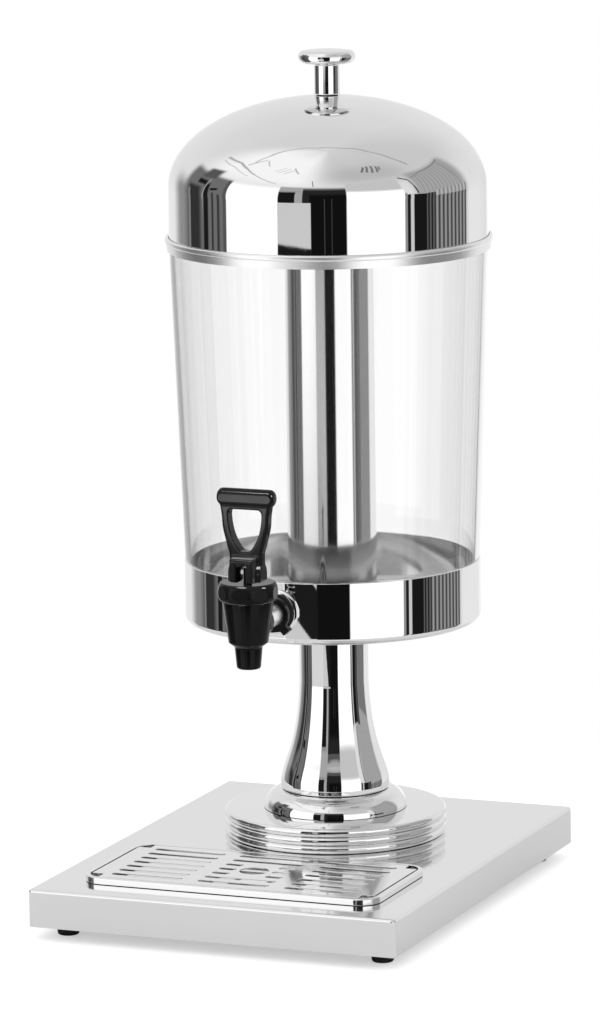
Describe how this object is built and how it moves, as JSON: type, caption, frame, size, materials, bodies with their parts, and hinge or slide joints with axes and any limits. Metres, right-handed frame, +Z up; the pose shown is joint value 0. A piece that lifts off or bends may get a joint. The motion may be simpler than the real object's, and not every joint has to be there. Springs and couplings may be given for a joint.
{
  "type": "juice dispenser",
  "caption": "Steel drink dispenser with a clear vessel, upright ice tube, domed lid, self-closing lever tap and drip tray.",
  "frame": {"origin": "on the floor, under the middle of the base's footprint", "axes": "+Z up, -Y to the front where the tap and drip tray are, +X to the object's left as it faces the user, which is to the right in the picture"},
  "size_m": [0.26, 0.347, 0.5736],
  "materials": {
    "polished_steel": "mirror-polished stainless steel",
    "satin_steel": "satin stainless steel",
    "zinc_steel": "plain zinc-plated or bare steel",
    "clear_polycarbonate": "clear polished polycarbonate",
    "black_plastic": "glossy moulded plastic",
    "black_rubber": "matt rubber",
    "silicone": "translucent white silicone"
  },
  "bodies": {
    "root": {"base_pan": "polished_steel", "base_stiffener": "zinc_steel", "foot_front_left": "black_rubber", "foot_front_right": "black_rubber", "foot_rear_left": "black_rubber", "foot_rear_right": "black_rubber", "foot_screw_front_left": "zinc_steel", "foot_screw_front_right": "zinc_steel", "foot_screw_rear_left": "zinc_steel", "foot_screw_rear_right": "zinc_steel", "foot_nut_front_left": "zinc_steel", "foot_nut_front_right": "zinc_steel", "foot_nut_rear_left": "zinc_steel", "foot_nut_rear_right": "zinc_steel", "plinth_disc": "polished_steel", "column_foot": "polished_steel", "column": "polished_steel", "tie_rod": "zinc_steel", "tie_rod_washer": "zinc_steel", "tie_rod_nut": "zinc_steel", "cup_boss": "zinc_steel", "base_cup": "polished_steel", "vessel_gasket": "silicone", "vessel": "clear_polycarbonate", "ice_tube_seal": "silicone", "tap_shank": "satin_steel", "tap_escutcheon": "polished_steel", "tap_outer_seal": "black_rubber", "tap_outer_nut": "black_plastic", "tap_inner_seal": "silicone", "tap_inner_nut": "black_plastic", "tap_body": "black_plastic", "tap_bonnet": "black_plastic", "tap_spring": "zinc_steel"},
    "ice_tube": {"ice_tube": "polished_steel"},
    "lid": {"lid_dome": "polished_steel", "lid_rim": "satin_steel", "lid_knob": "polished_steel", "lid_knob_seal": "black_rubber", "lid_washer": "zinc_steel", "lid_screw": "zinc_steel"},
    "tap_stem": {"tap_stem": "black_plastic", "tap_seat_cup": "silicone"},
    "tap_lever": {"tap_lever": "black_plastic", "tap_lever_pin": "zinc_steel"},
    "drip_pan": {"drip_pan": "polished_steel"},
    "drip_grid": {"drip_grid": "polished_steel"}
  },
  "joints": [
    {"name": "lid_lift", "type": "slide", "parent": "root", "child": "lid", "axis": [0, 0, 1], "range_m": [0, 0.12]},
    {"name": "ice_tube_lift", "type": "slide", "parent": "root", "child": "ice_tube", "axis": [0, 0, 1], "range_m": [0, 0.065]},
    {"name": "drip_pan_lift", "type": "slide", "parent": "root", "child": "drip_pan", "axis": [0, 0, 1], "range_m": [0, 0.06]},
    {"name": "drip_grid_lift", "type": "slide", "parent": "drip_pan", "child": "drip_grid", "axis": [0, 0, 1], "range_m": [0, 0.04]},
    {"name": "tap_stem_slide", "type": "slide", "parent": "root", "child": "tap_stem", "axis": [0, 0, 1], "range_m": [0, 0.00418], "stiffness_N_per_m": 100, "springref_m": -0.002, "deforming": ["tap_spring"]},
    {"name": "tap_lever_tilt", "type": "hinge", "parent": "tap_stem", "child": "tap_lever", "pos_m": [0, -0.0988, 0.2423], "axis": [1, 0, 0], "range_deg": [0, 30]}
  ],
  "couplings": [
    {"joint": "tap_lever_tilt", "follows": "tap_stem_slide", "rad_per_m": 125}
  ]
}
